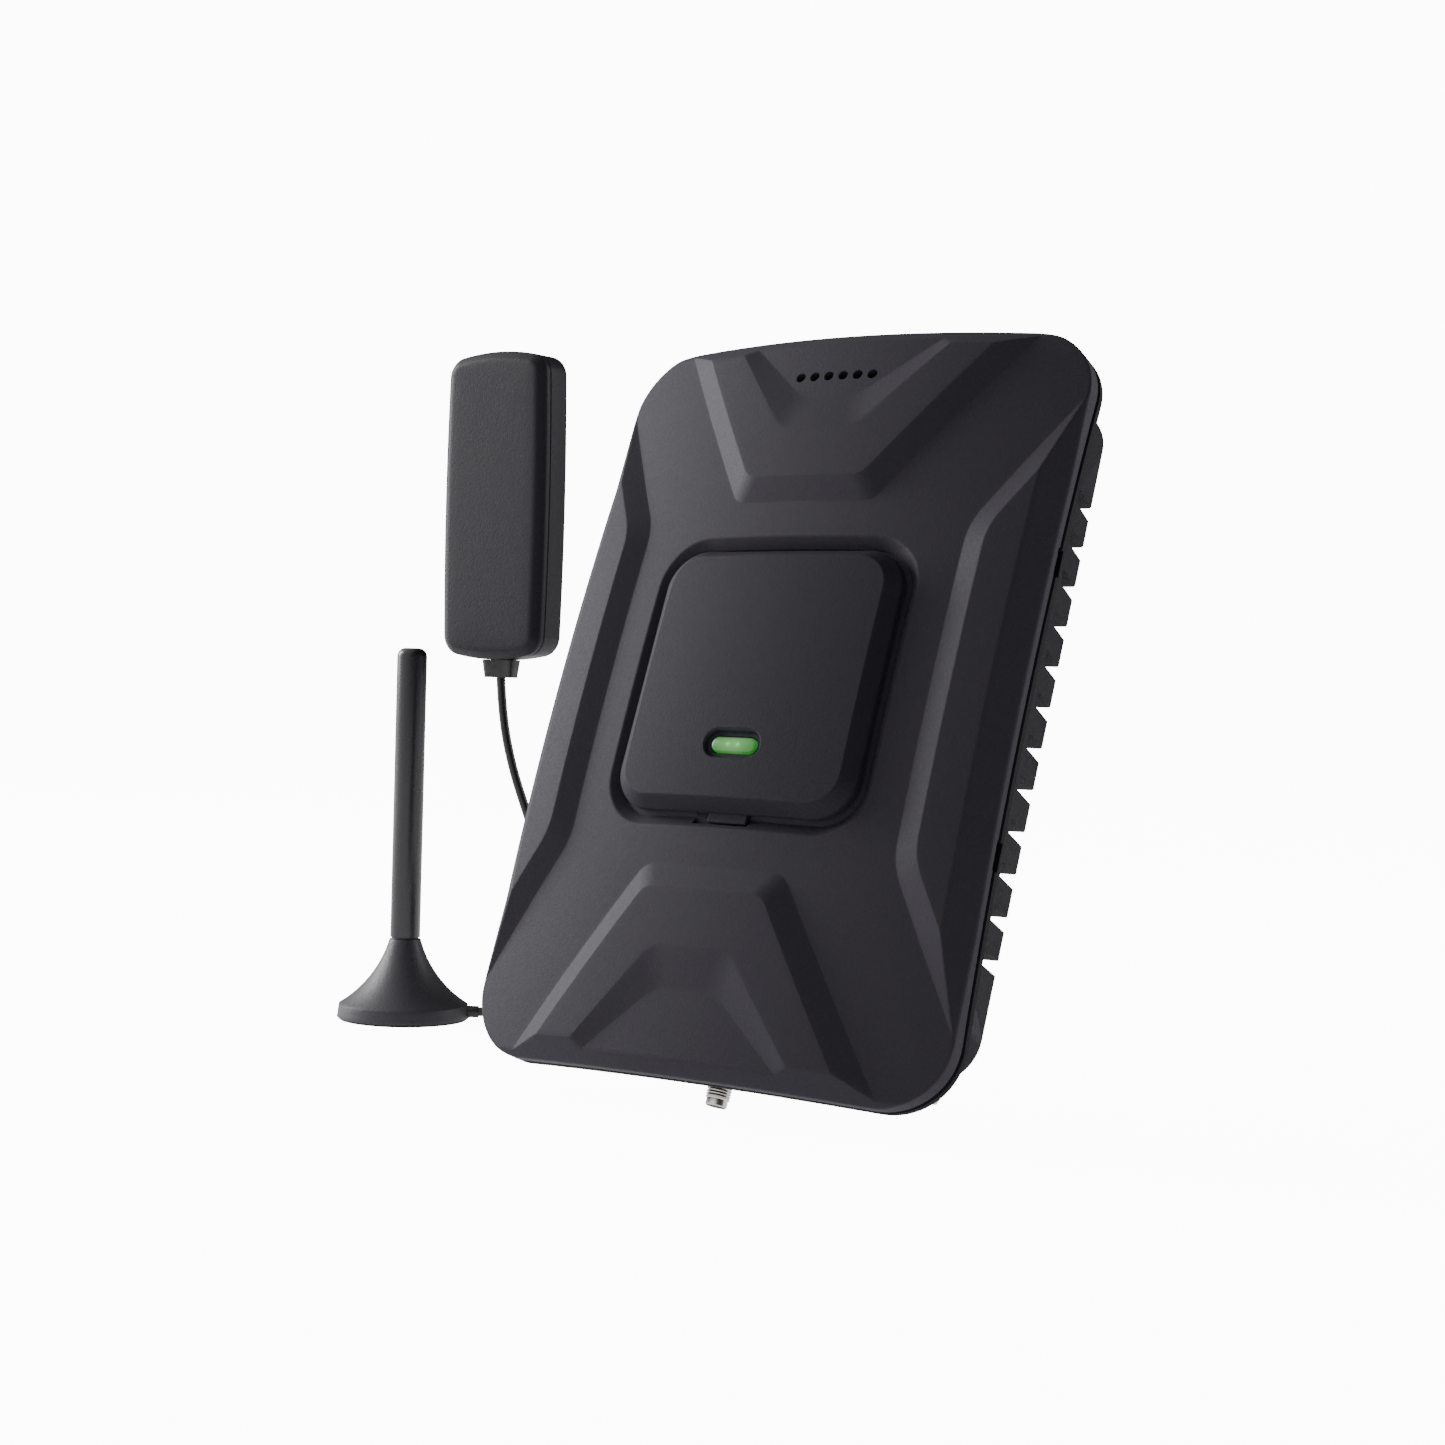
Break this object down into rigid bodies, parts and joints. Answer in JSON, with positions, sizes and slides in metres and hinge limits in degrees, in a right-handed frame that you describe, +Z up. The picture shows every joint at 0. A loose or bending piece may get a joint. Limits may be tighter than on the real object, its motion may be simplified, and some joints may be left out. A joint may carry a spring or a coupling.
{
  "type": "cellular signal booster",
  "caption": "Signal booster with a domed front cover, clip-in badge panel and finned back, with a flat inside antenna and a magnet-mount mast antenna on coiled coaxial leads.",
  "frame": {"origin": "on the surface that the set stands on, under the middle of the box round the booster and its two antennas", "axes": "+Z up, +X along the width of the booster, to the right as seen from the front, -Y the side that the cover and the badge panel face"},
  "size_m": [0.2455, 0.1245, 0.2049],
  "materials": {
    "cover_plastic": "fine moulded texture, satin",
    "badge_plastic": "fine moulded texture, satin",
    "lamp_lens": "translucent green",
    "chip_plastic": "matt",
    "seal_rubber": "matt",
    "chassis_paint": "dark grey textured powder coat on die-cast alloy",
    "steel_screw": "black oxide",
    "board_green": "solder mask",
    "shield_tin": "tinned",
    "thermal_grey": "soft",
    "port_plating": "nickel plated brass",
    "insulator_white": "satin",
    "contact_gold": "gold plated",
    "socket_plastic": "satin",
    "panel_plastic": "fine moulded texture",
    "adhesive_foam": "foam with liner",
    "mast_plastic": "satin",
    "base_plastic": "fine moulded texture",
    "steel_plate": "zinc plated",
    "magnet_grey": "sintered",
    "foot_rubber": "matt",
    "lead_jacket": "smooth vinyl",
    "tie_fabric": "woven strap"
  },
  "bodies": {
    "set": {"front_cover": "cover_plastic", "light_pipe": "lamp_lens", "status_lamp": "insulator_white", "cover_seal": "seal_rubber", "finned_chassis": "chassis_paint", "cover_screw_1": "steel_screw", "cover_screw_2": "steel_screw", "cover_screw_3": "steel_screw", "cover_screw_4": "steel_screw", "main_board": "board_green", "rf_shield_1": "shield_tin", "rf_shield_2": "shield_tin", "rf_shield_3": "shield_tin", "amplifier_chip_1": "chip_plastic", "amplifier_chip_2": "chip_plastic", "thermal_pad": "thermal_grey", "board_screws": "steel_screw", "outside_port_barrel": "port_plating", "outside_port_insulator": "insulator_white", "outside_port_contact": "contact_gold", "outside_port_washer": "port_plating", "outside_port_nut": "port_plating", "inside_port_barrel": "port_plating", "inside_port_insulator": "insulator_white", "inside_port_contact": "contact_gold", "inside_port_washer": "port_plating", "inside_port_nut": "port_plating", "power_socket": "socket_plastic", "power_pin": "contact_gold", "inside_front_shell": "panel_plastic", "inside_back_shell": "panel_plastic", "inside_antenna_board": "board_green", "inside_adhesive_pad": "adhesive_foam", "inside_strain_relief": "lead_jacket", "mast_stud": "steel_screw", "magnet_base_cover": "base_plastic", "outside_strain_relief": "lead_jacket", "base_plate": "steel_plate", "base_magnet": "magnet_grey", "base_foot_pad": "foot_rubber", "inside_lead_tube": "lead_jacket", "inside_tail_tube": "lead_jacket", "inside_lead_coil": "lead_jacket", "inside_coil_tie": "tie_fabric", "inside_plug_body": "port_plating", "inside_plug_pin": "contact_gold", "outside_lead_tube": "lead_jacket", "outside_tail_tube": "lead_jacket", "outside_lead_coil": "lead_jacket", "outside_coil_tie": "tie_fabric", "outside_plug_body": "port_plating", "outside_plug_pin": "contact_gold"},
    "badge": {"badge_panel": "badge_plastic"},
    "mast": {"mast_sleeve": "mast_plastic", "mast_ferrule": "contact_gold", "mast_radiator": "contact_gold"},
    "inside_nut": {"inside_plug_nut": "port_plating"},
    "outside_nut": {"outside_plug_nut": "port_plating"}
  },
  "joints": [
    {"name": "badge_release", "type": "slide", "parent": "set", "child": "badge", "axis": [0, -0.9307, 0.3658], "range_m": [0, 0.012]},
    {"name": "mast_turn", "type": "hinge", "parent": "set", "child": "mast", "pos_m": [-0.1026, 0.0239, 0.025], "axis": [0, 0, 1], "continuous": true},
    {"name": "inside_nut_turn", "type": "hinge", "parent": "set", "child": "inside_nut", "pos_m": [0.0718, 0.0045, 0.0049], "axis": [1, 0, 0], "continuous": true},
    {"name": "outside_nut_turn", "type": "hinge", "parent": "set", "child": "outside_nut", "pos_m": [0.0188, -0.003, 0.0049], "axis": [1, 0, 0], "continuous": true}
  ]
}
